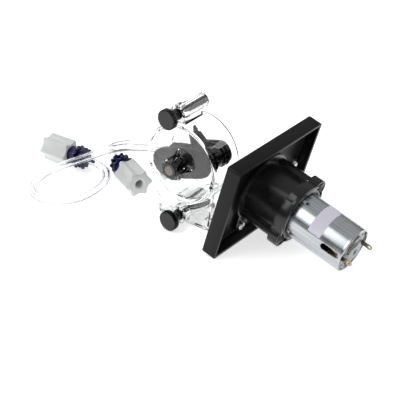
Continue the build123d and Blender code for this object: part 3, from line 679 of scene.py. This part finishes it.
def make_rotor_cap():
    """The rotor's front plate: a faceted oval with a raised middle."""
    reach = ROTOR_HALF - ROTOR_END_R
    discs = [rod(ROTOR_END_R, ROTOR_FRONT, ROTOR_FRONT + ROTOR_PLATE_T, side * reach, sides=12)
             for side in (-1, 1)]
    discs.append(rod(ROTOR_WAIST_R, ROTOR_FRONT, ROTOR_FRONT + ROTOR_PLATE_T, sides=12))
    plate = join(*discs)
    choose(plate)
    bpy.ops.object.mode_set(mode="EDIT")
    bpy.ops.mesh.select_all(action="SELECT")
    bpy.ops.mesh.convex_hull()
    leave()
    cut(plate, rod(4.0, 0, 50))
    bevelled(plate, 0.5, 3, 25)
    shifted(plate, turn=radians(ROTOR_ANGLE))
    finish_piece(plate, "rotor_cap", HEAD, "rotor", "rotor_grey", ["rotor_front_plate"])


# ---------------------------------------------------------------- tube set pieces
def nut_radius(angle):
    """A hexagon with a round flute along the middle of each flat; angle from a corner, in degrees."""
    off = radians(angle % 60 - 30)
    flat = NUT_CORNER_R * cos(pi / 6)
    reach = flat + NUT_FLUTE_R - NUT_FLUTE_DEPTH
    radius = flat / cos(off)
    if reach * abs(sin(off)) < NUT_FLUTE_R:
        radius = min(radius, reach * cos(off) - sqrt(NUT_FLUTE_R ** 2 - (reach * sin(off)) ** 2))
    return radius


def make_nut(name, place):
    """A fluted compression nut, open at the fitting and bored for a pipe."""
    low, high = NUT_FROM, NUT_FROM + NUT_LENGTH
    nut = rod(1, low + 0.5, high - 0.5, sides=144)
    for vertex in nut.data.vertices:
        radius = nut_radius(atan2(vertex.co.y, vertex.co.x) * 180 / pi)
        vertex.co.x *= radius
        vertex.co.y *= radius
    for test, rise in ((faces_up, 0.5), (faces_down, -0.5)):
        select_faces(nut, test)
        bpy.ops.mesh.extrude_region_move(TRANSFORM_OT_translate={"value": (0, 0, rise)})
        bpy.ops.transform.resize(value=(0.955, 0.955, 1))
        leave()
    cut(nut, rod(NUT_THREAD_R, low - 1, low + NUT_THREAD_DEPTH, sides=72))
    bore = turned([(0, low), (NUT_BORE_R, low), (NUT_BORE_R, high - 0.8), (NUT_BORE_R + 1.3, high + 0.5),
                   (0, high + 0.5)], 72)
    cut(nut, bore)
    bevelled(nut, 0.25, 2, 30)
    finish_piece(nut, f"fluted_nut_{name}", place, f"nut_{name}", "white_nut", [f"nut_{name}"])


def toothed_disc(radius, low, high, teeth):
    """A disc with square teeth round its edge."""
    sides = teeth * 4
    disc = rod(radius, low, high, sides=sides)
    for vertex in disc.data.vertices:
        step = round(atan2(vertex.co.y, vertex.co.x) / (2 * pi) * sides) % 4
        shrink = 1.0 if step in (0, 1) else 1 - 1.5 / radius
        vertex.co.x *= shrink
        vertex.co.y *= shrink
    return bevelled(disc, 0.18, 2)


def make_fitting(name, place):
    """A barbed fitting: barb, two toothed discs, hexagon and thread."""
    outline = [(1.0, 0.8), (1.25, 0.8)]
    for start in (1.2, 3.6, 6.0):
        outline += [(1.3, start), (1.58, start + 1.7), (1.35, start + 1.9)]
    outline += [(1.4, 8.5), (NECK_R + 0.8, 8.5), (NECK_R + 0.8, 10.4), (NECK_R, 10.4), (NECK_R, 24.2)]
    z = NUT_FROM
    while z < NUT_FROM + 9:
        outline += [(NUT_THREAD_R - 0.75, z), (NUT_THREAD_R - 0.17, z + 0.6)]
        z += 1.2
    outline += [(NUT_THREAD_R - 0.8, NUT_FROM + 10), (1.0, NUT_FROM + 10)]
    core = smooth(turned(outline, 64), 30)
    small = toothed_disc(SMALL_DISC_R, SMALL_DISC_FROM, SMALL_DISC_FROM + DISC_T, 10)
    large = toothed_disc(DISC_R, DISC_FROM, DISC_FROM + DISC_T, 12)
    cut(small, rod(BORE_R, 0, 30))
    cut(large, rod(BORE_R, 0, 30))
    hexagon = rod(BLOCK_R, 18.0, 24.7, sides=6)
    cut(hexagon, rod(BORE_R, 0, 30))
    bevelled(hexagon, 0.35, 3)
    fitting = join(core, small, large, hexagon)
    finish_piece(fitting, f"barbed_fitting_{name}", place, "tube_set", "navy_plastic",
                 [f"fitting_{name}"])
    return fitting


# ---------------------------------------------------------------- camera and cord
def make_camera():
    """The three groups seen from the front left, from above."""
    target = Vector((-0.033, 0.032, 0.033))
    azimuth, elevation, distance = radians(-51.5), radians(30.5), 0.961
    forward = Vector((-sin(azimuth) * cos(elevation), cos(azimuth) * cos(elevation), -sin(elevation)))
    data = bpy.data.cameras.new("camera")
    data.lens = 117
    data.sensor_width = 36
    data.clip_start = 0.05
    data.clip_end = 20
    camera = bpy.data.objects.new("camera", data)
    bpy.context.scene.collection.objects.link(camera)
    camera.location = target - forward * distance
    camera.rotation_euler = forward.to_track_quat("-Z", "Y").to_euler()
    bpy.context.scene.camera = camera


def make_squeeze_tube():
    """The clear tube: a smooth line through its route, given a wall."""
    curve = bpy.data.curves.new("squeeze_tube_line", "CURVE")
    curve.dimensions = "3D"
    curve.resolution_u = 10
    spline = curve.splines.new("NURBS")
    spline.points.add(len(TUBE_POINTS) - 1)
    for point, spot in zip(spline.points, TUBE_POINTS):
        point.co = (spot[0] * MM, spot[1] * MM, spot[2] * MM, 1)
    spline.order_u = 3
    spline.use_endpoint_u = True
    line = bpy.data.objects.new("squeeze_tube", curve)
    bpy.context.scene.collection.objects.link(line)
    bpy.context.view_layer.update()
    centres = bpy.data.meshes.new_from_object(line.evaluated_get(bpy.context.evaluated_depsgraph_get()))
    curve.bevel_depth = TUBE_R * MM
    curve.bevel_resolution = 7
    choose(line)
    bpy.ops.object.convert(target="MESH")
    tube = bpy.context.active_object
    tube.name = tube.data.name = "pump_tube"
    apply_modifier(tube, "SOLIDIFY", thickness=TUBE_WALL * MM, offset=-1, use_rim=True)
    smooth(tube, 50)
    tube.data.materials.clear()
    tube.data.materials.append(materials["clear_tube"])
    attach(tube, "tube_set")
    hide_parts("squeeze_tube")
    return tube


# ---------------------------------------------------------------- floor and light
def make_floor():
    paint = Paint("floor")
    cloud = paint.noise(0.004, 2)
    material = paint.surface(Base_Color=paint.mix(cloud, (0.93, 0.93, 0.925, 1), (0.95, 0.95, 0.945, 1)),
                             Roughness=0.9, Specular_IOR_Level=0.1, Emission_Color=(1, 1, 1, 1),
                             Emission_Strength=0.62)
    bpy.ops.mesh.primitive_plane_add(size=5, location=(0, 0, -0.0002))
    floor = bpy.context.active_object
    floor.name = "floor"
    floor.data.materials.append(material)


def make_softbox(name, size, energy, azimuth, elevation, distance, target=(0, 0.03, 0.04)):
    """A square soft light round the object, aimed at it."""
    data = bpy.data.lights.new(name, "AREA")
    data.shape = "SQUARE"
    data.size = size
    data.energy = energy
    light = bpy.data.objects.new(name, data)
    bpy.context.scene.collection.objects.link(light)
    az, el = radians(azimuth), radians(elevation)
    back = Vector((sin(az) * cos(el), -cos(az) * cos(el), sin(el)))
    light.location = Vector(target) + back * distance
    light.rotation_euler = (-back).to_track_quat("-Z", "Y").to_euler()


def make_world():
    """A tent open at the top, with a dark flag at each side to draw the edges of clear parts."""
    world = bpy.data.worlds.new("studio")
    bpy.context.scene.world = world
    world.use_nodes = True
    tree = world.node_tree
    tree.nodes.clear()
    coords = tree.nodes.new("ShaderNodeTexCoord")
    split = tree.nodes.new("ShaderNodeSeparateXYZ")
    across = tree.nodes.new("ShaderNodeVectorMath")
    across.operation = "DOT_PRODUCT"
    across.inputs[1].default_value = (0.622, -0.783, 0)
    size = tree.nodes.new("ShaderNodeMath")
    size.operation = "ABSOLUTE"
    flag = tree.nodes.new("ShaderNodeMapRange")
    for socket, value in zip(flag.inputs[1:5], (0.62, 0.86, 1.0, 0.20)):
        socket.default_value = value
    ramp = tree.nodes.new("ShaderNodeValToRGB")
    for position, shade in ((0.05, 0.10), (0.3, 0.62), (0.6, 1.1)):
        ramp.color_ramp.elements.new(position).color = grey(shade)
    ramp.color_ramp.elements.remove(ramp.color_ramp.elements[0])
    ramp.color_ramp.elements.remove(ramp.color_ramp.elements[-1])
    strength = tree.nodes.new("ShaderNodeMath")
    strength.operation = "MULTIPLY"
    strength.inputs[1].default_value = WORLD_STRENGTH
    background = tree.nodes.new("ShaderNodeBackground")
    output = tree.nodes.new("ShaderNodeOutputWorld")
    for start, end in ((coords.outputs["Generated"], split.inputs[0]),
                       (coords.outputs["Generated"], across.inputs[0]),
                       (split.outputs["Z"], ramp.inputs[0]), (across.outputs["Value"], size.inputs[0]),
                       (size.outputs[0], flag.inputs[0]), (flag.outputs[0], strength.inputs[0]),
                       (ramp.outputs[0], background.inputs["Color"]),
                       (strength.outputs[0], background.inputs["Strength"]),
                       (background.outputs[0], output.inputs["Surface"])):
        tree.links.new(start, end)


def make_studio():
    bpy.context.scene.view_settings.view_transform = "Standard"
    make_floor()
    make_world()
    make_softbox("key", 1.2, 11.5, -120, 48, 1.6)
    make_softbox("fill", 1.4, 3.2, 20, 40, 1.8)
    make_softbox("back", 1.0, 4.5, 150, 35, 1.6)
    make_softbox("edge", 0.5, 2.2, 62, 14, 1.1)


# ---------------------------------------------------------------- the whole
materials = make_materials()
for node in nodes.values():
    for slot in node.material_slots:
        slot.material = materials[slot.material.name.split(".")[0]]
make_camera()
for name in ("a", "b"):
    place = joint_frame(f"nut_{name}_turn", -NUT_JOINT_Z * MM)
    make_nut(name, place)
    make_fitting(name, place)
make_squeeze_tube()
make_refined("mounting_plate", "plate_shell", "drive_unit", "black_plastic", 0.45, 40, 3)
make_refined("gear_housing", "gearbox_shell", "drive_unit", "housing_black", 0.32)
make_plate_nuts()
make_flange_screws()
make_motor_can()
make_motor_end()
make_label()
for side, name in ((-1, "left"), (1, "right")):
    make_terminal(side, name)
for side, name in ((1, "top"), (-1, "bottom")):
    make_thumb_screw(side, name)
    make_spring(side, name)
for side, name in ((-1, "a"), (1, "b")):
    make_roller(side, name)
make_rotor_cap()
make_refined("head_housing", "clear_shell", "pump_head", "clear_plastic", 0.35, 50, 3)
make_refined("rotor_rear_plate", "rotor_back", "rotor", "rotor_black", 0.35)
make_refined("rotor_shaft", "rotor_spindle", "rotor", "shaft_steel", 0.3)
make_studio()
